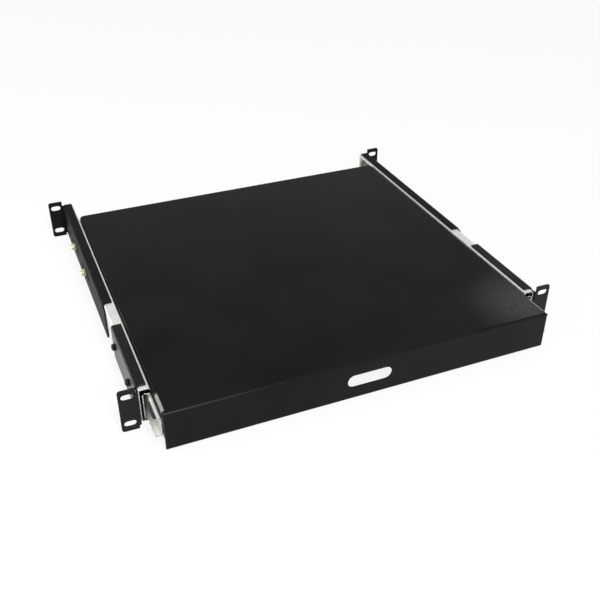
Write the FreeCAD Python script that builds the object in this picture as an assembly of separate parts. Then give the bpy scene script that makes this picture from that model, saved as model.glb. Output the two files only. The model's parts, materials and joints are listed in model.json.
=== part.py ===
import FreeCAD, Part
import math
import os

os.makedirs("parts", exist_ok=True)

# A one-unit pull-out rack shelf: a folded tray on two ball-bearing slides, carried by four eared brackets.
# Millimetres. The origin is the middle of the four front ear slots, on the face that meets the rack post:
# +X is to the right seen from the front, +Y runs into the rack and +Z is up.

# Rack
EAR_SPAN = 482.6            # over both ears, the standard 19-inch panel width
EAR_LAP = 16.3              # how far each ear laps over its post
RACK_DEPTH = 411.5          # between the post faces that the front and rear ears meet
EAR_HEIGHT = 48.8
EAR_CORNER_RADIUS = 3.0
EAR_SLOT_INSET = 8.75       # from an ear's outer edge to the middle of its slots
EAR_SLOT_SPACING_Z = 31.75
EAR_SLOT_WIDTH = 6.5
EAR_SLOT_LENGTH = 12.0

# Brackets, folded from sheet
BRACKET_SHEET = 1.5
BRACKET_BEND_RADIUS = 1.75  # at the middle of the sheet
POST_CLEARANCE = 1.8        # between a bracket's web and the post beside it
FRONT_BRACKET_LENGTH = 113.5
BRACKET_GAP = 35.0          # between the webs of a front and a rear bracket
FLANGE_WIDTH = 10.8
FRONT_FLANGE_SETBACK = 6.0  # a flange stops this short of its ear, so that the corner can fold
REAR_FLANGE_SETBACK = 2.5
FRONT_FLANGE_CUT = 1.5      # and this short of the far end of its web, whose corner is rounded there
REAR_FLANGE_CUT = 8.0
FLANGE_CUT_ROUNDING = 0.9   # that corner's radius, as a share of the cut
FLANGE_CLEARANCE = 0.2      # between the flange and the slide under it
WEB_BELOW_SLIDE = 2.0
WEB_CORNER_RADIUS = 4.0

# Slides
SLIDE_HEIGHT = 38.0
SLIDE_THICKNESS = 12.7
SLIDE_SETBACK = 0.5         # the fixed rail starts this far behind the front ears' mounting face
SLIDE_REAR_GAP = 1.0        # and ends this far in front of the rear ears'
RAIL_SHEET = 1.1
RAIL_BEND_RADIUS = 2.0
BALL_DIAMETER = 3.2
RACE_CLEARANCE = 0.12
TRAY_SIDE_GAP = 0.7         # between the fixed rail's hook and the tray
HOOK_TURN = 75.0            # degrees that the fixed rail's edge wraps round its balls
CRADLE_TURN = 80.0          # degrees that the middle rail wraps under the same balls
CROSS_TURN = 28.0           # slope of the middle rail between its two rows of balls
LIP_TURN = 50.0             # degrees that the inner rail's edge wraps round its balls
CAGE_SHOULDER = 1.2         # room for the cage between the inner balls and the middle rail's web
CAGE_SHEET = 0.5
CAGE_LENGTH = 186.0
CAGE_CLEARANCE = 0.35
CAGE_HOLE_CLEARANCE = 0.06
CAGE_OVERHANG = 3.4
BALLS_PER_ROW = 5
BALL_END_MARGIN = 6.0       # from the end of a cage to its first ball
PULLED_OUT = 37.0           # how far out the tray stands as shown
MIDDLE_SETBACK = 14.5       # the middle rail starts this far behind the inner one when closed
BUMPER_LENGTH = 7.0
BUMPER_WALL = 3.0
BUMPER_NOTCH = 9.0
BUMPER_GAP = 1.0            # left between the closed rails and the bumper
ACCESS_HOLE_DIAMETER = 11.0  # in the middle rail, to reach the bolts behind it
BALL_RINGS = 3              # flat-faced balls, because there are so many of them
BALL_SIDES = 6

# Tray, folded from sheet
TRAY_SHEET = 1.5
TRAY_DEPTH = 414.0
TRAY_BEND_RADIUS = 3.0      # outside
TRAY_REAR_CORNER_RADIUS = 6.0
TRAY_BELOW_FLANGE = 1.3     # the deck lies this far below the tops of the brackets
FRONT_PANEL_HEIGHT = 44.4
FRONT_RETURN_DEPTH = 12.0
SIDE_FLANGE_HEIGHT = 32.4
CORNER_SLIT = 1.4           # between the front panel and a side flange
CORNER_SLIT_INSET = 3.3
CLOSED_PROUD = 2.5          # the closed front panel stands this far in front of the ears
HANDLE_LENGTH = 49.0
HANDLE_HEIGHT = 14.5
RAIL_BEHIND_PANEL = 5.0     # the inner rail starts this far behind the front panel

# Fasteners
FRONT_BOLT_DIAMETER = 4.0
FRONT_BOLT_HEAD = 7.5
FRONT_BOLT_STUB = 0.8       # thread standing out of the nut
FRONT_WASHER_DIAMETER = 8.0
FRONT_WASHER_THICKNESS = 0.8
FRONT_NUT_WIDTH = 7.0       # across the flats
FRONT_NUT_THICKNESS = 2.2
FRONT_BOLT_INSET = 40.0     # behind the front ears
FRONT_BOLT_END_INSET = 11.0  # in front of the far end of the web
FRONT_WEB_SLOT = 12.0
REAR_BOLT_DIAMETER = 5.0
REAR_BOLT_HEAD = 9.0
REAR_BOLT_STUB = 1.2
REAR_WASHER_DIAMETER = 10.0
REAR_WASHER_THICKNESS = 1.0
REAR_NUT_WIDTH = 8.0
REAR_NUT_THICKNESS = 4.0
REAR_BOLT_INSETS = (80.5, 147.0)    # in front of the fixed rails' rear ends
REAR_WEB_SLOT = 46.0        # long, because the rear bracket is set to the depth of the rack
BOLT_HOLE_CLEARANCE = 0.2
BOLT_HEAD_CLEARANCE = 0.5   # from a bolt head to the middle rail
THREAD_CLEARANCE = 0.05
SCREW_DIAMETER = 4.0
SCREW_HEAD_DIAMETER = 7.6
SCREW_HEAD_HEIGHT = 2.2
SCREW_NUT_WIDTH = 7.0
SCREW_NUT_THICKNESS = 3.2
SCREW_STUB = 1.0
SCREW_FRACTIONS = (0.14, 0.50, 0.86)  # along the tray's depth
SMALL_SIDES = 12            # small round bars and holes have this many flats

# Places that follow from the sizes above
WEB_X = EAR_SPAN / 2 - EAR_LAP - POST_CLEARANCE
EAR_SLOT_X = EAR_SPAN / 2 - EAR_SLOT_INSET
SLIDE_X = WEB_X - BRACKET_SHEET
TRAY_HALF_WIDTH = SLIDE_X - SLIDE_THICKNESS
FLANGE_TOP = SLIDE_HEIGHT / 2 + FLANGE_CLEARANCE + BRACKET_SHEET
WEB_BOTTOM = -SLIDE_HEIGHT / 2 - WEB_BELOW_SLIDE
TRAY_TOP = FLANGE_TOP - TRAY_BELOW_FLANGE
TRAY_FRONT = -BRACKET_SHEET - CLOSED_PROUD - PULLED_OUT
TRAY_REAR = TRAY_FRONT + TRAY_DEPTH
REAR_BRACKET_LENGTH = RACK_DEPTH - FRONT_BRACKET_LENGTH - BRACKET_GAP
SLIDE_REAR = RACK_DEPTH - SLIDE_REAR_GAP
SLIDE_LENGTH = SLIDE_REAR - SLIDE_SETBACK
INNER_FRONT = TRAY_FRONT + TRAY_SHEET + RAIL_BEHIND_PANEL
RAIL_REAR_CLOSED = SLIDE_REAR - BUMPER_LENGTH - BUMPER_GAP
RAIL_LENGTH = RAIL_REAR_CLOSED - PULLED_OUT - INNER_FRONT
MIDDLE_FRONT = INNER_FRONT + PULLED_OUT / 2 + MIDDLE_SETBACK
FRONT_BOLTS = (FRONT_BOLT_INSET, FRONT_BRACKET_LENGTH - FRONT_BOLT_END_INSET)
REAR_BOLTS = tuple(SLIDE_REAR - inset for inset in REAR_BOLT_INSETS)
FRONT_HOLE_DIAMETER = FRONT_BOLT_DIAMETER + 2 * BOLT_HOLE_CLEARANCE
REAR_HOLE_DIAMETER = REAR_BOLT_DIAMETER + 2 * BOLT_HOLE_CLEARANCE
SCREW_HOLE_DIAMETER = SCREW_DIAMETER + 2 * BOLT_HOLE_CLEARANCE
TRAY_SCREWS = tuple(TRAY_FRONT + fraction * TRAY_DEPTH for fraction in SCREW_FRACTIONS)

# The two rows of balls, measured inwards from the fixed rail's back and up from the slide's middle
BALL_RADIUS = BALL_DIAMETER / 2
RACE_RADIUS = BALL_RADIUS + RACE_CLEARANCE + RAIL_SHEET / 2
OUTER_BALL_U = SLIDE_THICKNESS - TRAY_SIDE_GAP - RAIL_SHEET / 2 - RACE_RADIUS
OUTER_BALL_W = SLIDE_HEIGHT / 2 - RAIL_SHEET / 2 - RACE_RADIUS
INNER_BALL_U = OUTER_BALL_U - 2 * RACE_RADIUS * math.sin(math.radians(CROSS_TURN))
INNER_BALL_W = OUTER_BALL_W - 2 * RACE_RADIUS * math.cos(math.radians(CROSS_TURN))
MIDDLE_WEB_U = INNER_BALL_U - RACE_RADIUS - CAGE_SHOULDER
INNER_WEB_U = SLIDE_THICKNESS - RAIL_SHEET / 2
BOLT_HEAD_HEIGHT = MIDDLE_WEB_U - RAIL_SHEET * 1.5 - BOLT_HEAD_CLEARANCE


# Geometry helpers

def box(low, high):
    size = FreeCAD.Vector(*high) - FreeCAD.Vector(*low)
    return Part.makeBox(size.x, size.y, size.z, FreeCAD.Vector(*low))


def ring(radius, sides, place):
    """A closed regular polygon; place puts a point of it in space."""
    angles = [2 * math.pi * (step + 0.5) / sides for step in range(sides)]
    points = [place(radius * math.cos(angle), radius * math.sin(angle)) for angle in angles]
    return Part.makePolygon(points + points[:1])


def prism_x(radius, sides, low_x, high_x, y):
    """A bar along X at the slide's mid-height, with its corners at the given radius."""
    outline = ring(radius, sides, lambda a, b: FreeCAD.Vector(low_x, y + a, b))
    return Part.Face(outline).extrude(FreeCAD.Vector(high_x - low_x, 0, 0))


def bar_x(diameter, low_x, high_x, y):
    return prism_x(diameter / 2, SMALL_SIDES, low_x, high_x, y)


def hole_x(diameter, low_x, high_x, y):
    """As a bar, with its flats at the given diameter, so that a bar of that size still passes."""
    return prism_x(diameter / 2 / math.cos(math.pi / SMALL_SIDES), SMALL_SIDES, low_x, high_x, y)


def slot_x(length, width, low_x, high_x, y):
    """A slot along Y with flat-sided ends, through from one X to another."""
    reach = (length - width) / 2
    middle = box((low_x, y - reach, -width / 2), (high_x, y + reach, width / 2))
    return middle.fuse([hole_x(width, low_x, high_x, y + side * reach) for side in (-1, 1)])


def fillet_where(shape, radius, axis, wanted):
    """Round the straight edges along an axis whose two ends both satisfy a test."""
    axis = FreeCAD.Vector(*axis)
    edges = [edge for edge in shape.Edges if isinstance(edge.Curve, Part.Line)
             and edge.Curve.Direction.cross(axis).Length < 0.001
             and all(wanted(vertex.Point) for vertex in edge.Vertexes)]
    return shape.makeFillet(radius, edges)


def slot_prism(centre, length, width, along, through):
    """A round-ended slot of the given length, pushed through both ways from its centre."""
    centre = FreeCAD.Vector(*centre)
    along = FreeCAD.Vector(*along)
    through = FreeCAD.Vector(*through)
    across = along.cross(through).normalize() * (width / 2)
    reach = along * (length - width) * 0.5
    corners = [centre - through + reach * a + across * b for a, b in ((-1, -1), (1, -1), (1, 1), (-1, 1))]
    tips = [centre - through + reach * a + along * (a * width / 2) for a in (1, -1)]
    outline = [
        Part.LineSegment(corners[0], corners[1]),
        Part.Arc(corners[1], tips[0], corners[2]),
        Part.LineSegment(corners[2], corners[3]),
        Part.Arc(corners[3], tips[1], corners[0]),
    ]
    return Part.Face(Part.Wire([curve.toShape() for curve in outline])).extrude(through * 2)


def follow(start, heading, moves):
    """Walk straight runs and bends from a point; return the pieces, the end point and the end heading."""
    u, w = start
    angle = math.radians(heading)
    pieces = []
    for move in moves:
        if move[0] == "run":
            length = move[1]
            pieces.append(("run", (u, w), angle, length))
            u += length * math.cos(angle)
            w += length * math.sin(angle)
        else:
            radius, turn = move[1], math.radians(move[2])
            pieces.append(("bend", (u, w), angle, radius, turn))
            side = math.copysign(radius, turn)
            centre_u = u - side * math.sin(angle)
            centre_w = w + side * math.cos(angle)
            angle += turn
            u = centre_u + side * math.sin(angle)
            w = centre_w - side * math.cos(angle)
    return pieces, (u, w), math.degrees(angle)


def shifted_edge(piece, shift, place):
    """One walked piece, moved sideways to a face of the sheet."""
    (u, w), angle = piece[1], piece[2]

    def beside(point_u, point_w, heading):
        return place(point_u - shift * math.sin(heading), point_w + shift * math.cos(heading))

    if piece[0] == "run":
        far_u = u + piece[3] * math.cos(angle)
        far_w = w + piece[3] * math.sin(angle)
        return Part.LineSegment(beside(u, w, angle), beside(far_u, far_w, angle)).toShape()
    radius, turn = piece[3], piece[4]
    points = []
    for share in (0.0, 0.5, 1.0):
        _, (point_u, point_w), heading = follow((u, w), math.degrees(angle),
                                                [("bend", radius, math.degrees(turn) * share or 1e-9)])
        points.append(beside(point_u, point_w, math.radians(heading)))
    return Part.Arc(*points).toShape()


def sheet_section(start, heading, moves, thickness, place):
    """The cross-section of a folded sheet whose middle line follows the moves."""
    pieces = follow(start, heading, moves)[0]
    left = [shifted_edge(piece, thickness / 2, place) for piece in pieces]
    right = [shifted_edge(piece, -thickness / 2, place) for piece in pieces]
    caps = [
        Part.LineSegment(left[0].valueAt(left[0].FirstParameter),
                         right[0].valueAt(right[0].FirstParameter)).toShape(),
        Part.LineSegment(left[-1].valueAt(left[-1].LastParameter),
                         right[-1].valueAt(right[-1].LastParameter)).toShape(),
    ]
    return Part.Face(Part.Wire(Part.__sortEdges__(left + right + caps)))


def mirrored_rail(start_u, upper_moves, front, length):
    """A rail whose section is the same above and below the slide's middle."""
    _, (end_u, end_w), end_heading = follow((start_u, 0.0), 90.0, upper_moves)
    whole = list(reversed(upper_moves)) + upper_moves

    def place(u, w):
        return FreeCAD.Vector(SLIDE_X - u, front, w)

    section = sheet_section((end_u, -end_w), 180.0 - end_heading, whole, RAIL_SHEET, place)
    return section.extrude(FreeCAD.Vector(0, length, 0)).removeSplitter()


# Brackets

def bracket(length, setback, end_cut, bolt_places, web_slot, slot_width):
    """The right front bracket: Y runs from the ear's mounting face to the far end of the web."""
    web_middle = WEB_X - BRACKET_SHEET / 2
    ear_run = 2.0

    def in_plan(u, w):
        return FreeCAD.Vector(u, w, WEB_BOTTOM)

    def in_section(u, w):
        return FreeCAD.Vector(u, setback, w)

    corner_moves = [
        ("run", length - BRACKET_BEND_RADIUS + BRACKET_SHEET / 2),
        ("bend", BRACKET_BEND_RADIUS, 90.0),
        ("run", ear_run),
    ]
    neck_top = FLANGE_TOP - BRACKET_SHEET / 2 - BRACKET_BEND_RADIUS
    corner = sheet_section((web_middle, length), -90.0, corner_moves, BRACKET_SHEET, in_plan)
    corner = corner.extrude(FreeCAD.Vector(0, 0, neck_top - WEB_BOTTOM))
    flange_moves = [
        ("run", neck_top - WEB_BOTTOM),
        ("bend", BRACKET_BEND_RADIUS, 90.0),
        ("run", FLANGE_WIDTH - BRACKET_SHEET / 2 - BRACKET_BEND_RADIUS),
    ]
    flange = sheet_section((web_middle, WEB_BOTTOM), 90.0, flange_moves, BRACKET_SHEET, in_section)
    flange = flange.extrude(FreeCAD.Vector(0, length - setback - end_cut, 0))
    ear_inner_x = web_middle + BRACKET_BEND_RADIUS
    ear = box((ear_inner_x, -BRACKET_SHEET, -EAR_HEIGHT / 2), (EAR_SPAN / 2, 0, EAR_HEIGHT / 2))
    ear = fillet_where(ear, EAR_CORNER_RADIUS, (0, 1, 0), lambda point: point.x > ear_inner_x + 1)
    for side in (-1, 1):
        hole = slot_prism((EAR_SLOT_X, 0, side * EAR_SLOT_SPACING_Z / 2),
                          EAR_SLOT_LENGTH, EAR_SLOT_WIDTH, (1, 0, 0), (0, 2 * BRACKET_SHEET, 0))
        ear = ear.cut(hole)
    body = corner.fuse([flange, ear]).removeSplitter()
    body = body.cut([slot_x(web_slot, slot_width, WEB_X - 2 * BRACKET_SHEET, WEB_X + BRACKET_SHEET, y)
                     for y in bolt_places])
    for radius, level in ((WEB_CORNER_RADIUS, WEB_BOTTOM), (end_cut * FLANGE_CUT_ROUNDING, neck_top)):
        body = fillet_where(body, radius, (1, 0, 0), lambda point, level=level: abs(point.y - length) < 0.01
                            and abs(point.z - level) < 0.01)
    return body


def rear_bracket():
    """Folded like the front one, with its ear behind the rear post."""
    bolt_places = [RACK_DEPTH - y for y in REAR_BOLTS]
    shape = bracket(REAR_BRACKET_LENGTH, REAR_FLANGE_SETBACK, REAR_FLANGE_CUT, bolt_places, REAR_WEB_SLOT,
                    REAR_HOLE_DIAMETER)
    turned = shape.mirror(FreeCAD.Vector(0, 0, 0), FreeCAD.Vector(0, 1, 0))
    return turned.translated(FreeCAD.Vector(0, RACK_DEPTH, 0))


# Slides

def outer_rail():
    moves = [
        ("run", SLIDE_HEIGHT / 2 - RAIL_SHEET / 2 - RAIL_BEND_RADIUS),
        ("bend", RAIL_BEND_RADIUS, -90.0),
        ("run", OUTER_BALL_U - RAIL_SHEET / 2 - RAIL_BEND_RADIUS),
        ("bend", RACE_RADIUS, -HOOK_TURN),
    ]
    rail = mirrored_rail(RAIL_SHEET / 2, moves, SLIDE_SETBACK, SLIDE_LENGTH)
    holes = [hole_x(diameter, SLIDE_X - 2 * RAIL_SHEET, SLIDE_X + RAIL_SHEET, y)
             for diameter, places in ((FRONT_HOLE_DIAMETER, FRONT_BOLTS), (REAR_HOLE_DIAMETER, REAR_BOLTS))
             for y in places]
    return rail.cut(holes)


def middle_rail():
    moves = [
        ("run", INNER_BALL_W),
        ("bend", RACE_RADIUS, -90.0),
        ("run", CAGE_SHOULDER),
        ("bend", RACE_RADIUS, -CROSS_TURN),
        ("bend", RACE_RADIUS, CRADLE_TURN),
    ]
    rail = mirrored_rail(MIDDLE_WEB_U, moves, MIDDLE_FRONT, RAIL_LENGTH - MIDDLE_SETBACK)
    web_x = SLIDE_X - MIDDLE_WEB_U
    closed_shift = -PULLED_OUT / 2
    holes = [hole_x(ACCESS_HOLE_DIAMETER, web_x - RAIL_SHEET, web_x + RAIL_SHEET, y + closed_shift)
             for y in FRONT_BOLTS + REAR_BOLTS]
    return rail.cut(holes)


def inner_rail():
    flange_w = INNER_BALL_W - RACE_RADIUS
    moves = [
        ("run", flange_w - RAIL_BEND_RADIUS),
        ("bend", RAIL_BEND_RADIUS, 90.0),
        ("run", INNER_WEB_U - RAIL_BEND_RADIUS - INNER_BALL_U),
        ("bend", RACE_RADIUS, -LIP_TURN),
    ]
    rail = mirrored_rail(INNER_WEB_U, moves, INNER_FRONT, RAIL_LENGTH)
    holes = [hole_x(SCREW_HOLE_DIAMETER, TRAY_HALF_WIDTH - RAIL_SHEET, TRAY_HALF_WIDTH + 2 * RAIL_SHEET, y)
             for y in TRAY_SCREWS]
    return rail.cut(holes)


def ball_places(front, row_u, row_w):
    pitch = (CAGE_LENGTH - 2 * BALL_END_MARGIN) / (BALLS_PER_ROW - 1)
    return [FreeCAD.Vector(SLIDE_X - row_u, front + BALL_END_MARGIN + pitch * index, side * row_w)
            for side in (-1, 1) for index in range(BALLS_PER_ROW)]


def ball(centre):
    """A ball of flat faces: polygons at a few heights, drawn together at the top and bottom."""
    sections = [Part.Vertex(centre - FreeCAD.Vector(0, 0, BALL_RADIUS))]
    for step in range(1, BALL_RINGS + 1):
        tilt = math.pi * (step / (BALL_RINGS + 1) - 0.5)
        middle = centre + FreeCAD.Vector(0, 0, BALL_RADIUS * math.sin(tilt))
        sections.append(ring(BALL_RADIUS * math.cos(tilt), BALL_SIDES,
                             lambda a, b, middle=middle: middle + FreeCAD.Vector(a, b, 0)))
    sections.append(Part.Vertex(centre + FreeCAD.Vector(0, 0, BALL_RADIUS)))
    return Part.makeLoft(sections, True, True)


def balls(places):
    return Part.makeCompound([ball(place) for place in places])


def cage(front, row_w, low_u, high_u, places):
    """Two strips with a square window for each ball, one for the upper and one for the lower row."""
    strips = []
    window = BALL_RADIUS + CAGE_HOLE_CLEARANCE
    for side in (-1, 1):
        strip = box((SLIDE_X - high_u, front, side * row_w - CAGE_SHEET / 2),
                    (SLIDE_X - low_u, front + CAGE_LENGTH, side * row_w + CAGE_SHEET / 2))
        reach = FreeCAD.Vector(window, window, CAGE_SHEET)
        windows = [box(place - reach, place + reach) for place in places if place.z * side > 0]
        strips.append(strip.cut(windows))
    return Part.makeCompound(strips)


def rail_bumper():
    """The stop at the back of the fixed rail, notched at its middle."""
    half_height = SLIDE_HEIGHT / 2 - RAIL_SHEET - CAGE_CLEARANCE
    back_x = SLIDE_X - RAIL_SHEET
    inner_x = SLIDE_X - OUTER_BALL_U - RACE_RADIUS + RAIL_SHEET / 2 + CAGE_CLEARANCE
    front = SLIDE_REAR - BUMPER_LENGTH
    block = box((inner_x, front, -half_height), (back_x, SLIDE_REAR, half_height))
    block = fillet_where(block, RAIL_BEND_RADIUS, (0, 1, 0), lambda point: abs(point.z) > half_height - 0.01)
    notch = box((inner_x - 1, front - 1, -BUMPER_NOTCH), (back_x - BUMPER_WALL, SLIDE_REAR - BUMPER_WALL,
                                                          BUMPER_NOTCH))
    return block.cut(notch)


# Tray

def tray():
    front, rear, top = TRAY_FRONT, TRAY_REAR, TRAY_TOP
    half, sheet = TRAY_HALF_WIDTH, TRAY_SHEET
    bottom = top - FRONT_PANEL_HEIGHT
    outer = box((-half, front, bottom), (half, rear, top))
    inner = box((-half + sheet, front + sheet, bottom + sheet), (half - sheet, rear - sheet, top - sheet))
    walls = []
    for block, inset in ((outer, 0.0), (inner, sheet)):
        level = top - inset
        corner = fillet_where(block, TRAY_REAR_CORNER_RADIUS - inset, (0, 0, 1),
                              lambda point: point.y > rear - sheet - 0.01)
        deck_edges = [edge for edge in corner.Edges
                      if all(abs(v.Point.z - level) < 0.01 for v in edge.Vertexes)]
        front_foot = [edge for edge in corner.Edges
                      if all(v.Point.z < bottom + sheet + 0.01 and v.Point.y < front + sheet + 0.01
                             for v in edge.Vertexes)]
        walls.append(corner.makeFillet(TRAY_BEND_RADIUS - inset, deck_edges + front_foot))
    shell = walls[0].cut(walls[1])
    flange_bottom = top - SIDE_FLANGE_HEIGHT
    slit_front = front + TRAY_BEND_RADIUS
    away = [
        box((-half - 1, front + FRONT_RETURN_DEPTH, bottom - 1), (half + 1, rear + 1, flange_bottom)),
        slot_prism((0, front, top - FRONT_PANEL_HEIGHT / 2), HANDLE_LENGTH, HANDLE_HEIGHT,
                   (1, 0, 0), (0, 2 * sheet, 0)),
    ]
    for side in (-1, 1):
        edge_x = sorted((side * (half - CORNER_SLIT_INSET), side * (half + 1)))
        away.append(box((edge_x[0], slit_front, bottom - 1), (edge_x[1], slit_front + CORNER_SLIT, top + 1)))
        away.append(box((edge_x[0], slit_front, bottom - 1),
                        (edge_x[1], front + FRONT_RETURN_DEPTH + 1, flange_bottom)))
        away += [hole_x(SCREW_HOLE_DIAMETER, side * half - 2 * sheet, side * half + 2 * sheet, y)
                 for y in TRAY_SCREWS]
    return shell.cut(away)


# Fasteners

def hex_nut(width, thickness, thread, low_x, y):
    body = prism_x(width / 2 / math.cos(math.pi / 6), 6, low_x, low_x + thickness, y)
    return body.cut(hole_x(thread + 2 * THREAD_CLEARANCE, low_x - 1, low_x + thickness + 1, y))


def headed(head_diameter, head_low, head_high, diameter, low, high, y):
    """A bolt or screw along X: its head and its shank."""
    return bar_x(head_diameter, head_low, head_high, y).fuse(bar_x(diameter, low, high, y)).removeSplitter()


def bracket_bolts(places, head, diameter, length_outside):
    """Flat-headed bolts from inside the fixed rail, out through the bracket."""
    head_face = SLIDE_X - RAIL_SHEET
    head_top = head_face - BOLT_HEAD_HEIGHT
    return Part.makeCompound([headed(head, head_top, head_face, diameter, head_top, WEB_X + length_outside, y)
                              for y in places])


def bracket_washers(places, diameter, thickness, hole_diameter):
    outer_face = WEB_X + thickness
    washers = []
    for y in places:
        hole = hole_x(hole_diameter, WEB_X - 1, outer_face + 1, y)
        washers.append(bar_x(diameter, WEB_X, outer_face, y).cut(hole))
    return Part.makeCompound(washers)


def bracket_nuts(places, width, thickness, thread, face):
    return Part.makeCompound([hex_nut(width, thickness, thread, WEB_X + face, y) for y in places])


def tray_screws():
    """Screws from inside the inner rail, through the tray's side."""
    head_face = TRAY_HALF_WIDTH + RAIL_SHEET
    head_top = head_face + SCREW_HEAD_HEIGHT
    tip = TRAY_HALF_WIDTH - TRAY_SHEET - SCREW_NUT_THICKNESS - SCREW_STUB
    return Part.makeCompound([
        headed(SCREW_HEAD_DIAMETER, head_face, head_top, SCREW_DIAMETER, tip, head_top, y)
        for y in TRAY_SCREWS])


def tray_nuts():
    low_x = TRAY_HALF_WIDTH - TRAY_SHEET - SCREW_NUT_THICKNESS
    return Part.makeCompound([hex_nut(SCREW_NUT_WIDTH, SCREW_NUT_THICKNESS, SCREW_DIAMETER, low_x, y)
                              for y in TRAY_SCREWS])


# Assembly: every piece of the right side, named with a gap for the side

outer_cage_front = SLIDE_SETBACK + (SLIDE_LENGTH - CAGE_LENGTH) / 2 - PULLED_OUT / 4
inner_cage_front = outer_cage_front - PULLED_OUT / 2 + MIDDLE_SETBACK / 2
outer_places = ball_places(outer_cage_front, OUTER_BALL_U, OUTER_BALL_W)
inner_places = ball_places(inner_cage_front, INNER_BALL_U, INNER_BALL_W)
middle_web_face = MIDDLE_WEB_U + RAIL_SHEET / 2
front_bolt_reach = FRONT_WASHER_THICKNESS + FRONT_NUT_THICKNESS + FRONT_BOLT_STUB
rear_bolt_reach = REAR_WASHER_THICKNESS + REAR_NUT_THICKNESS + REAR_BOLT_STUB

right_side = {
    "front_{}_bracket": bracket(FRONT_BRACKET_LENGTH, FRONT_FLANGE_SETBACK, FRONT_FLANGE_CUT, FRONT_BOLTS,
                                FRONT_WEB_SLOT, FRONT_HOLE_DIAMETER),
    "rear_{}_bracket": rear_bracket(),
    "{}_outer_rail": outer_rail(),
    "{}_middle_rail": middle_rail(),
    "{}_inner_rail": inner_rail(),
    "{}_outer_cage": cage(outer_cage_front, OUTER_BALL_W, OUTER_BALL_U - CAGE_OVERHANG,
                          OUTER_BALL_U + RACE_RADIUS, outer_places),
    "{}_outer_balls": balls(outer_places),
    "{}_inner_cage": cage(inner_cage_front, INNER_BALL_W, middle_web_face + CAGE_CLEARANCE,
                          INNER_BALL_U + CAGE_OVERHANG, inner_places),
    "{}_inner_balls": balls(inner_places),
    "{}_rail_bumper": rail_bumper(),
    "front_{}_bolts": bracket_bolts(FRONT_BOLTS, FRONT_BOLT_HEAD, FRONT_BOLT_DIAMETER, front_bolt_reach),
    "front_{}_washers": bracket_washers(FRONT_BOLTS, FRONT_WASHER_DIAMETER, FRONT_WASHER_THICKNESS,
                                        FRONT_HOLE_DIAMETER),
    "front_{}_nuts": bracket_nuts(FRONT_BOLTS, FRONT_NUT_WIDTH, FRONT_NUT_THICKNESS, FRONT_BOLT_DIAMETER,
                                  FRONT_WASHER_THICKNESS),
    "rear_{}_bolts": bracket_bolts(REAR_BOLTS, REAR_BOLT_HEAD, REAR_BOLT_DIAMETER, rear_bolt_reach),
    "rear_{}_washers": bracket_washers(REAR_BOLTS, REAR_WASHER_DIAMETER, REAR_WASHER_THICKNESS,
                                       REAR_HOLE_DIAMETER),
    "rear_{}_nuts": bracket_nuts(REAR_BOLTS, REAR_NUT_WIDTH, REAR_NUT_THICKNESS, REAR_BOLT_DIAMETER,
                                 REAR_WASHER_THICKNESS),
    "{}_tray_screws": tray_screws(),
    "{}_tray_nuts": tray_nuts(),
}

nodes = {"shelf_tray": tray()}
for name, shape in right_side.items():
    nodes[name.format("right")] = shape
    nodes[name.format("left")] = shape.mirror(FreeCAD.Vector(0, 0, 0), FreeCAD.Vector(1, 0, 0))

for name, shape in nodes.items():
    shape.exportStep(f"parts/{name}.step")
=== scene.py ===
"""A black pull-out rack shelf on a white studio floor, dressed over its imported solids."""
import bpy
import json
import math
from mathutils import Matrix, Vector


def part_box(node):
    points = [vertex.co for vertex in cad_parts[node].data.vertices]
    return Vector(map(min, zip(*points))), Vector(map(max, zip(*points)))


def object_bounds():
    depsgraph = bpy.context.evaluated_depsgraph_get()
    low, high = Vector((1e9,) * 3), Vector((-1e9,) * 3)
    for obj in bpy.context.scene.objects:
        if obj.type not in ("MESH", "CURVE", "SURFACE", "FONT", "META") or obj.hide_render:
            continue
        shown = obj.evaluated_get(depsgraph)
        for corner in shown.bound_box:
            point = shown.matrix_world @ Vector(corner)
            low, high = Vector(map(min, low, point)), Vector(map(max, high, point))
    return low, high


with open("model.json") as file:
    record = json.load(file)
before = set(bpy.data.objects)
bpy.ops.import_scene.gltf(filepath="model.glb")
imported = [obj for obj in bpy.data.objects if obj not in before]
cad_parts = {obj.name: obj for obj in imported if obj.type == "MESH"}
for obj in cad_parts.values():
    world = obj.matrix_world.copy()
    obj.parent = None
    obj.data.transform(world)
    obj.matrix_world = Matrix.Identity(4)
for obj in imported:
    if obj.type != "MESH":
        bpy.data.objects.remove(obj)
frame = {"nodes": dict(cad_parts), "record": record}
cad_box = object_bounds()

# Camera, as in the photograph
CAMERA_PLACE = (-0.3110, -0.5967, 0.5063)
CAMERA_AZIMUTH = -22.93
CAMERA_ELEVATION = 33.42
CAMERA_ROLL = 0.13
CAMERA_LENS = 48.96
CAMERA_SENSOR = 36.0

# Floor and sky
FLOOR_HALF_WIDTH = 30.0
FLOOR_WHITE = (0.92, 0.92, 0.92)
FLOOR_GLOW = 0.88           # share of plain white in the floor that the camera and shiny surfaces see
FLOOR_GLOW_STRENGTH = 1.0
SKY_STRENGTH = 1.1
SKY_BANDS = (               # height as a share of the way up, and the brightness there
    (0.00, 1.00),
    (0.16, 0.95),
    (0.32, 0.34),
    (0.62, 0.34),
    (0.92, 1.00),
)
SKY_LEFT = 0.15             # how much of that the left and the right of the studio give
SKY_RIGHT = 1.0
SKY_SIDES = (-0.5, 0.15)    # from left to right, where one level passes into the other
SKY_HORIZON = (0.10, 0.18)  # heights over which the horizon, bright all round, fades into the sides

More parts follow.
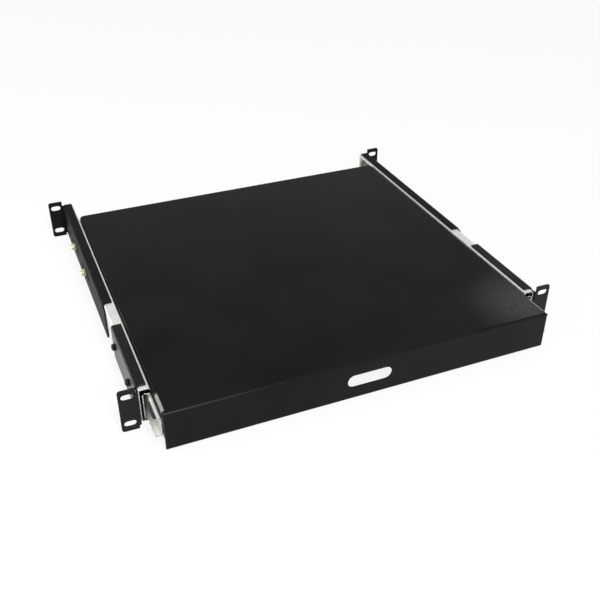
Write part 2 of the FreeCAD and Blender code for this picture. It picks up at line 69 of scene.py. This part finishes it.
# Softboxes: where they stand, what they shine at and how large they are, in metres, and their watts
SOFTBOXES = {
    "front_light": {"place": (-0.03, -1.55, 1.45), "target": (-0.1, 0.0, 0.0),
                    "width": 0.22, "height": 1.5, "watts": 38.0},
    "back_left_light": {"place": (-1.35, 1.60, 0.45), "target": (-0.2, 0.0, 0.0),
                        "width": 0.8, "height": 0.5, "watts": 6.0},
    "left_light": {"place": (-0.85, 0.15, 0.55), "target": (-0.22, 0.15, 0.0),
                   "width": 0.3, "height": 0.6, "watts": 2.5},
}

# Patterns: scale, detail, and stretch along X, Y and Z, where less than 1 draws a pattern out
EVEN = (1.0, 1.0, 1.0)
COAT_CLOUD = (14.0, 3.0, EVEN)
COAT_PEEL = (950.0, 2.0, EVEN)
WORN_PATCHES = (60.0, 4.0, EVEN)
SCUFF_MARKS = (500.0, 4.0, (1.0, 0.5, 1.0))
BEND_HIGHLIGHT_PATCHES = (120.0, 3.0, EVEN)
PLATE_BLOTCHES = (45.0, 2.0, EVEN)
RAIL_STREAKS = (700.0, 3.0, (1.0, 0.02, 1.0))
ROUND_GRAIN = (700.0, 3.0, EVEN)
RACE_PATCHES = (250.0, 3.0, (1.0, 0.2, 1.0))
END_PATCHES = (400.0, 3.0, EVEN)
PLASTIC_GRAIN = (1200.0, 2.0, EVEN)
PATTERN_RANGE = (0.3, 0.7)  # where most values of a pattern lie

# Relief: strength, and depth in metres
COAT_RELIEF = (0.12, 0.00025)
PLATE_RELIEF = (0.06, 0.0001)
PLASTIC_RELIEF = (0.10, 0.0001)

# How far the roughness varies either way
COAT_VARIATION = 0.03
PLATE_VARIATION = 0.06

# Worn edges of the coat; a range is the share left in the faintest and the strongest patches
EDGE_RADIUS = 0.0005
WORN_EDGES = (0.80, 0.99)   # how well the rounded and the true surface agree at full wear and at none
WORN_SHARE = 0.55
WORN_RANGE = (0.1, 1.0)
WORN_COLOUR = (0.055, 0.054, 0.053)

# Scuffed corner of the deck, lighter with rub marks and a painted sheen
SCUFF_AND_SHEEN_MIDDLE = (0.205, -0.015, 0.0194)
SCUFF_AND_SHEEN_REACH = 0.085
SCUFF_AND_SHEEN_UPWARD = (0.80, 0.97)  # how squarely a surface faces up without the marks and sheen and with them
SCUFF_AND_SHEEN_RANGE = (0.45, 1.0)
SCUFF_AND_SHEEN_COLOUR = (0.066, 0.062, 0.057)

# Painted highlight on the side bends of the tray, between the front panel and the ears
BEND_HIGHLIGHT_FRONT = (-0.038, -0.035)  # depths over which the painted highlight comes in behind the panel
BEND_HIGHLIGHT_BACK = (-0.014, -0.008)   # and goes out before the ears
BEND_HIGHLIGHT_SIDEWAYS = (0.04, 0.20)   # how squarely a surface faces a side without the painted highlight and with it
BEND_HIGHLIGHT_UPWARD = (0.10, 0.35)     # and how squarely it faces up
BEND_HIGHLIGHT_RANGE = (0.6, 1.0)
BEND_HIGHLIGHT_COLOUR = (0.42, 0.42, 0.39)

# Painted shade in the rails' hollows, grease with painted shade in the inner rails' races, and bare
# steel at the rails' ends
HOLLOW_SHADE_REACH = 0.008
SHADED_HOLLOWS = (0.30, 0.80)  # how open a hollow is at full painted shade and at none
HOLLOW_SHADE_SHARE = 0.92
SHADE_AND_GREASE_COLOUR = (0.036, 0.033, 0.046)
RACE_START = 0.50           # share of the way from the tray to the inner rail's outer edge
RACE_FADE = 0.0006
RACE_OUTWARD = (0.15, 0.45)  # how squarely a surface faces the balls without the grease and painted shade and with them
RACE_RANGE = (0.85, 1.1)
END_FACING = (0.75, 0.95)   # how squarely a surface faces along the rail plated and bare
END_RANGE = (0.4, 0.95)
BARE_STEEL = (0.13, 0.13, 0.14)

# Finishes: dark and light are the two ends of a finish's own variation in colour
COATS = {
    "tray_paint": {"dark": (0.0045, 0.0042, 0.0041), "light": (0.0072, 0.0068, 0.0066),
                   "roughness": 0.30, "specular": 0.10, "scuffs_and_painted_light": True},
    "bracket_paint": {"dark": (0.0075, 0.0075, 0.0080), "light": (0.0105, 0.0105, 0.0110),
                      "roughness": 0.31, "specular": 0.15},
    # the rear brackets: a darker, duller copy of the bracket paint, painted shade on the rear webs
    "rear_bracket_shaded_paint": {"dark": (0.0070, 0.0068, 0.0072), "light": (0.0100, 0.0098, 0.0100),
                           "roughness": 0.52, "specular": 0.06},
}
PLATES = {
    "zinc_rail": {"dark": (0.86, 0.85, 0.82), "light": (0.95, 0.94, 0.91),
                  "roughness": 0.32, "rail": True, "bloom": 0.50},
    "middle_zinc_rail": {"dark": (0.84, 0.83, 0.80), "light": (0.94, 0.93, 0.90),
                         "roughness": 0.22, "rail": True},
    "inner_zinc_rail": {"dark": (0.86, 0.85, 0.81), "light": (0.95, 0.94, 0.90),
                        "roughness": 0.40, "rail": True, "bloom": 0.55, "grease_and_shade_in_races": True},
    "cage_steel": {"dark": (0.42, 0.42, 0.41), "light": (0.56, 0.56, 0.54),
                   "roughness": 0.35, "rail": True},
    "ball_steel": {"dark": (0.78, 0.78, 0.78), "light": (0.85, 0.85, 0.85), "roughness": 0.16},
    "black_fastener": {"dark": (0.035, 0.035, 0.037), "light": (0.07, 0.07, 0.07), "roughness": 0.34},
    "yellow_zinc": {"dark": (0.70, 0.66, 0.40), "light": (0.86, 0.85, 0.62), "roughness": 0.30},
    "bright_zinc": {"dark": (0.62, 0.62, 0.62), "light": (0.78, 0.78, 0.77), "roughness": 0.28},
}
PLASTICS = {
    "bumper_plastic": {"dark": (0.56, 0.54, 0.50), "light": (0.66, 0.64, 0.60), "roughness": 0.5},
}
SPECIAL_FINISHES = {        # nodes with their own version of their slot's finish; the rear brackets' one is darker and duller as painted shade
    "rear_left_bracket": "rear_bracket_shaded_paint",
    "rear_right_bracket": "rear_bracket_shaded_paint",
    "left_middle_rail": "middle_zinc_rail",
    "right_middle_rail": "middle_zinc_rail",
    "left_inner_rail": "inner_zinc_rail",
    "right_inner_rail": "inner_zinc_rail",
}


# Node helpers

def opaque(colour):
    return (*colour, 1.0)


def material_nodes(name):
    """A new material, with its node tree and its principled shader."""
    material = bpy.data.materials.new(name)
    material.use_nodes = True
    tree = material.node_tree
    return material, tree, tree.nodes["Principled BSDF"]


def noise(tree, pattern):
    """Noise in the part's own metres."""
    scale, detail, stretch = pattern
    place = tree.nodes.new("ShaderNodeTexCoord")
    mapping = tree.nodes.new("ShaderNodeMapping")
    mapping.inputs["Scale"].default_value = stretch
    texture = tree.nodes.new("ShaderNodeTexNoise")
    texture.inputs["Scale"].default_value = scale
    texture.inputs["Detail"].default_value = detail
    tree.links.new(place.outputs["Object"], mapping.inputs["Vector"])
    tree.links.new(mapping.outputs["Vector"], texture.inputs["Vector"])
    return texture.outputs["Fac"]


def ramp(tree, factor, low, high):
    """Colours from low to high over the range of a pattern."""
    node = tree.nodes.new("ShaderNodeValToRGB")
    for stop, position, colour in zip(node.color_ramp.elements, PATTERN_RANGE, (low, high)):
        stop.position = position
        stop.color = opaque(colour)
    tree.links.new(factor, node.inputs["Fac"])
    return node.outputs["Color"]


def map_range(tree, value, span, low, high):
    node = tree.nodes.new("ShaderNodeMapRange")
    node.inputs["From Min"].default_value = span[0]
    node.inputs["From Max"].default_value = span[1]
    node.inputs["To Min"].default_value = low
    node.inputs["To Max"].default_value = high
    tree.links.new(value, node.inputs["Value"])
    return node


def spread(tree, factor, low, high):
    """A number from low to high over the range of a pattern."""
    return map_range(tree, factor, PATTERN_RANGE, low, high).outputs["Result"]


def between(tree, value, span, low=0.0, high=1.0):
    """A number that goes smoothly from low to high as a value goes through a span."""
    node = map_range(tree, value, span, low, high)
    node.interpolation_type = "SMOOTHSTEP"
    return node.outputs["Result"]


def arithmetic(tree, operation, *values):
    """A number worked out from others, each a socket or a plain number."""
    node = tree.nodes.new("ShaderNodeMath")
    node.operation = operation
    for socket, value in zip(node.inputs, values):
        if isinstance(value, bpy.types.NodeSocket):
            tree.links.new(value, socket)
        else:
            socket.default_value = value
    return node.outputs["Value"]


def product(tree, first, *others):
    result = first
    for other in others:
        result = arithmetic(tree, "MULTIPLY", result, other)
    return result


def blended(tree, share, colour, other):
    """A colour with a share of another laid over it."""
    mix = tree.nodes.new("ShaderNodeMix")
    mix.data_type = "RGBA"
    mix.inputs["B"].default_value = opaque(other)
    tree.links.new(share, mix.inputs["Factor"])
    tree.links.new(colour, mix.inputs["A"])
    return mix.outputs["Result"]


def split_vector(tree, vector):
    """The parts of a vector along X, Y and Z."""
    split = tree.nodes.new("ShaderNodeSeparateXYZ")
    tree.links.new(vector, split.inputs["Vector"])
    return split.outputs


def facing(tree):
    """The parts of the surface's direction along X, Y and Z."""
    return split_vector(tree, tree.nodes.new("ShaderNodeNewGeometry").outputs["Normal"])


def place_on_part(tree):
    """A point's own X, Y and Z, in the part's metres at rest."""
    return split_vector(tree, tree.nodes.new("ShaderNodeTexCoord").outputs["Object"])


def soft_edge(tree):
    """The surface's direction with its edges slightly rounded; one node for the whole material."""
    node = tree.nodes.get("soft_edge")
    if node is None:
        node = tree.nodes.new("ShaderNodeBevel")
        node.name = "soft_edge"
        node.inputs["Radius"].default_value = EDGE_RADIUS
    return node.outputs["Normal"]


def add_relief(tree, shader, height, relief):
    """Fine relief over edges that are slightly rounded, as cut and coated sheet is."""
    node = tree.nodes.new("ShaderNodeBump")
    strength, depth = relief
    node.inputs["Strength"].default_value = strength
    node.inputs["Distance"].default_value = depth
    tree.links.new(height, node.inputs["Height"])
    tree.links.new(soft_edge(tree), node.inputs["Normal"])
    tree.links.new(node.outputs["Normal"], shader.inputs["Normal"])


# Wear and dirt

def worn_edges(tree, colour):
    """Rub the coat thin along the sheet's edges, in patches."""
    surface = tree.nodes.new("ShaderNodeNewGeometry")
    agreement = tree.nodes.new("ShaderNodeVectorMath")
    agreement.operation = "DOT_PRODUCT"
    tree.links.new(soft_edge(tree), agreement.inputs[0])
    tree.links.new(surface.outputs["Normal"], agreement.inputs[1])
    edge = between(tree, agreement.outputs["Value"], WORN_EDGES, WORN_SHARE, 0.0)
    patches = spread(tree, noise(tree, WORN_PATCHES), *WORN_RANGE)
    return blended(tree, product(tree, edge, patches), colour, WORN_COLOUR)


def scuffs_and_sheen_at_corner(tree, colour):
    """Lighten the deck with fine rub marks and a painted sheen that fade out from its front right
    corner.
    """
    place = tree.nodes.new("ShaderNodeTexCoord")
    distance = tree.nodes.new("ShaderNodeVectorMath")
    distance.operation = "DISTANCE"
    distance.inputs[1].default_value = SCUFF_AND_SHEEN_MIDDLE
    tree.links.new(place.outputs["Object"], distance.inputs[0])
    fade = between(tree, distance.outputs["Value"], (0.0, SCUFF_AND_SHEEN_REACH), 1.0, 0.0)
    upward = between(tree, facing(tree)["Z"], SCUFF_AND_SHEEN_UPWARD)
    marks = spread(tree, noise(tree, SCUFF_MARKS), *SCUFF_AND_SHEEN_RANGE)
    return blended(tree, product(tree, fade, upward, marks), colour, SCUFF_AND_SHEEN_COLOUR)


def painted_highlight_on_bends(tree, colour):
    """Paint a light grey highlight, in patches, along the side bends in front of the ears."""
    normal = facing(tree)
    sideways = between(tree, arithmetic(tree, "ABSOLUTE", normal["X"]), BEND_HIGHLIGHT_SIDEWAYS)
    upward = between(tree, normal["Z"], BEND_HIGHLIGHT_UPWARD)
    depth = place_on_part(tree)["Y"]
    behind_panel = between(tree, depth, BEND_HIGHLIGHT_FRONT)
    before_ears = between(tree, depth, BEND_HIGHLIGHT_BACK, 1.0, 0.0)
    patches = spread(tree, noise(tree, BEND_HIGHLIGHT_PATCHES), *BEND_HIGHLIGHT_RANGE)
    share = product(tree, sideways, upward, behind_panel, before_ears, patches)
    return blended(tree, share, colour, BEND_HIGHLIGHT_COLOUR)


def painted_shade_in_hollows(tree, colour):
    """Darken a plated surface in its hollows with painted shade."""
    hollow = tree.nodes.new("ShaderNodeAmbientOcclusion")
    hollow.inputs["Distance"].default_value = HOLLOW_SHADE_REACH
    share = between(tree, hollow.outputs["AO"], SHADED_HOLLOWS, HOLLOW_SHADE_SHARE, 0.0)
    return blended(tree, share, colour, SHADE_AND_GREASE_COLOUR)


def races_greased_and_shaded(tree, colour):
    """Darken the outer part of the inner rails' edges, where their balls run, with grease and painted
    shade.
    """
    low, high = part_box("right_inner_rail")
    start = low.x + RACE_START * (high.x - low.x)
    place = place_on_part(tree)
    outer_part = between(tree, arithmetic(tree, "ABSOLUTE", place["X"]), (start, start + RACE_FADE))
    outward = product(tree, facing(tree)["Z"], place["Z"])
    race = between(tree, outward, [share * high.z for share in RACE_OUTWARD])
    patches = spread(tree, noise(tree, RACE_PATCHES), *RACE_RANGE)
    return blended(tree, product(tree, outer_part, race, patches), colour, SHADE_AND_GREASE_COLOUR)


def bare_ends(tree, colour):
    """Show darker bare steel, in patches, on the sheared ends of a rail."""
    end = between(tree, arithmetic(tree, "ABSOLUTE", facing(tree)["Y"]), END_FACING)
    patches = spread(tree, noise(tree, END_PATCHES), *END_RANGE)
    return blended(tree, product(tree, end, patches), colour, BARE_STEEL)


# Materials

def powder_coat(name, dark, light, roughness, specular, scuffs_and_painted_light=False):
    """Satin black powder coat with a fine orange peel; on the tray, rub marks with a painted sheen at a
    corner and a painted highlight on the side bends.
    """
    material, tree, shader = material_nodes(name)
    cloud = noise(tree, COAT_CLOUD)
    colour = ramp(tree, cloud, dark, light)
    # Painted light on the tray: a sheen with rub marks at the front right corner, and a highlight along
    # the side bends
    if scuffs_and_painted_light:
        colour = painted_highlight_on_bends(tree, scuffs_and_sheen_at_corner(tree, colour))
    gloss = spread(tree, cloud, roughness - COAT_VARIATION, roughness + COAT_VARIATION)
    tree.links.new(worn_edges(tree, colour), shader.inputs["Base Color"])
    tree.links.new(gloss, shader.inputs["Roughness"])
    shader.inputs["Specular IOR Level"].default_value = specular
    add_relief(tree, shader, noise(tree, COAT_PEEL), COAT_RELIEF)
    return material


def plated_metal(name, dark, light, roughness, rail=False, bloom=0.0, grease_and_shade_in_races=False):
    """Plated steel with painted shade in its hollows, or grease and painted shade in its races; a rail
    has streaks along it, and bloom is how dull it has gone.
    """
    material, tree, shader = material_nodes(name)
    grain = noise(tree, RAIL_STREAKS if rail else ROUND_GRAIN)
    colour = ramp(tree, noise(tree, PLATE_BLOTCHES), dark, light)
    # Painted shade: the hollows are darkened, or on the inner rails the races, there with grease as well
    colour = races_greased_and_shaded(tree, colour) if grease_and_shade_in_races else painted_shade_in_hollows(tree, colour)
    if rail:
        colour = bare_ends(tree, colour)
    gloss = spread(tree, grain, roughness - PLATE_VARIATION, roughness + PLATE_VARIATION)
    tree.links.new(colour, shader.inputs["Base Color"])
    tree.links.new(gloss, shader.inputs["Roughness"])
    shader.inputs["Metallic"].default_value = 1.0 - bloom
    add_relief(tree, shader, grain, PLATE_RELIEF)
    return material


def moulded_plastic(name, dark, light, roughness):
    """Plastic with the fine grain of its mould."""
    material, tree, shader = material_nodes(name)
    grain = noise(tree, PLASTIC_GRAIN)
    tree.links.new(ramp(tree, grain, dark, light), shader.inputs["Base Color"])
    shader.inputs["Roughness"].default_value = roughness
    add_relief(tree, shader, grain, PLASTIC_RELIEF)
    return material


def make_materials():
    """One material for each finish, by the finish's name."""
    materials = {}
    for make, finishes in ((powder_coat, COATS), (plated_metal, PLATES), (moulded_plastic, PLASTICS)):
        for name, look in finishes.items():
            materials[name] = make(name, **look)
    return materials


def dress_nodes():
    """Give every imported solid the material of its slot, or its own shade of it."""
    materials = make_materials()
    slot_of = {row["node"]: row["material_slot"] for row in frame["record"]["subparts"]}
    for name, node in frame["nodes"].items():
        finish = SPECIAL_FINISHES.get(name, slot_of[name])
        node.data.materials.clear()
        node.data.materials.append(materials[finish])


# Studio

def add_to_scene(name, data):
    thing = bpy.data.objects.new(name, data)
    bpy.context.scene.collection.objects.link(thing)
    return thing


def floor_material():
    """White that keeps the object's shadow, and that looks paler to the camera and to shiny surfaces."""
    material = bpy.data.materials.new("floor_white")
    material.use_nodes = True
    tree = material.node_tree
    tree.nodes.clear()
    path = tree.nodes.new("ShaderNodeLightPath")
    seen = arithmetic(tree, "MAXIMUM", path.outputs["Is Camera Ray"], path.outputs["Is Glossy Ray"])
    diffuse = tree.nodes.new("ShaderNodeBsdfDiffuse")
    diffuse.inputs["Color"].default_value = opaque(FLOOR_WHITE)
    glow = tree.nodes.new("ShaderNodeEmission")
    glow.inputs["Strength"].default_value = FLOOR_GLOW_STRENGTH
    mix = tree.nodes.new("ShaderNodeMixShader")
    output = tree.nodes.new("ShaderNodeOutputMaterial")
    tree.links.new(product(tree, seen, FLOOR_GLOW), mix.inputs["Fac"])
    tree.links.new(diffuse.outputs["BSDF"], mix.inputs[1])
    tree.links.new(glow.outputs["Emission"], mix.inputs[2])
    tree.links.new(mix.outputs["Shader"], output.inputs["Surface"])
    return material


def add_floor():
    """A plain square floor under the lowest point of the shelf."""
    level = cad_box[0].z
    sides = ((-1, -1), (1, -1), (1, 1), (-1, 1))
    corners = [(x * FLOOR_HALF_WIDTH, y * FLOOR_HALF_WIDTH, level) for x, y in sides]
    mesh = bpy.data.meshes.new("floor")
    mesh.from_pydata(corners, [], [(0, 1, 2, 3)])
    mesh.materials.append(floor_material())
    add_to_scene("floor", mesh)


def add_sky():
    """A soft grey studio: a bright horizon and ceiling, and dimmer walls, brighter on the right."""
    world = bpy.data.worlds.new("studio")
    bpy.context.scene.world = world
    world.use_nodes = True
    tree = world.node_tree
    background = tree.nodes["Background"]
    background.inputs["Strength"].default_value = SKY_STRENGTH
    direction = split_vector(tree, tree.nodes.new("ShaderNodeTexCoord").outputs["Generated"])
    bands = tree.nodes.new("ShaderNodeValToRGB")
    stops = bands.color_ramp.elements
    for height, _ in SKY_BANDS[1:-1]:
        stops.new(height)
    for stop, (height, grey) in zip(stops, SKY_BANDS):
        stop.position = height
        stop.color = (grey, grey, grey, 1.0)
    tree.links.new(direction["Z"], bands.inputs["Fac"])
    side = between(tree, direction["X"], SKY_SIDES, SKY_LEFT, SKY_RIGHT)
    horizon = between(tree, direction["Z"], SKY_HORIZON, 1.0, 0.0)
    level = arithmetic(tree, "MAXIMUM", side, horizon)
    tree.links.new(product(tree, bands.outputs["Color"], level), background.inputs["Color"])


def add_softbox(name, place, target, width, height, watts):
    """A rectangular light that shines at a target and stays out of the picture."""
    light = bpy.data.lights.new(name, "AREA")
    light.shape = "RECTANGLE"
    light.size = width
    light.size_y = height
    light.energy = watts
    lamp = add_to_scene(name, light)
    lamp.visible_camera = False
    lamp.location = place
    lamp.rotation_euler = (Vector(target) - Vector(place)).to_track_quat("-Z", "Y").to_euler()


def add_camera():
    """The camera at the photograph's place, turned by its azimuth, elevation and roll."""
    azimuth = math.radians(CAMERA_AZIMUTH)
    elevation = math.radians(CAMERA_ELEVATION)
    roll = math.radians(CAMERA_ROLL)
    level_back = Vector((math.sin(azimuth), -math.cos(azimuth), 0))
    back = level_back * math.cos(elevation) + Vector((0, 0, math.sin(elevation)))
    level_right = Vector((math.cos(azimuth), math.sin(azimuth), 0))
    level_up = back.cross(level_right)
    right = level_right * math.cos(roll) + level_up * math.sin(roll)
    up = level_up * math.cos(roll) - level_right * math.sin(roll)
    turn = Matrix((right, up, back)).transposed().to_4x4()
    data = bpy.data.cameras.new("camera")
    data.lens = CAMERA_LENS
    data.sensor_width = CAMERA_SENSOR
    camera = add_to_scene("camera", data)
    camera.matrix_world = Matrix.Translation(CAMERA_PLACE) @ turn
    bpy.context.scene.camera = camera


dress_nodes()
add_floor()
add_sky()
for name, softbox in SOFTBOXES.items():
    add_softbox(name, **softbox)
add_camera()
bpy.context.scene.view_settings.view_transform = "Standard"
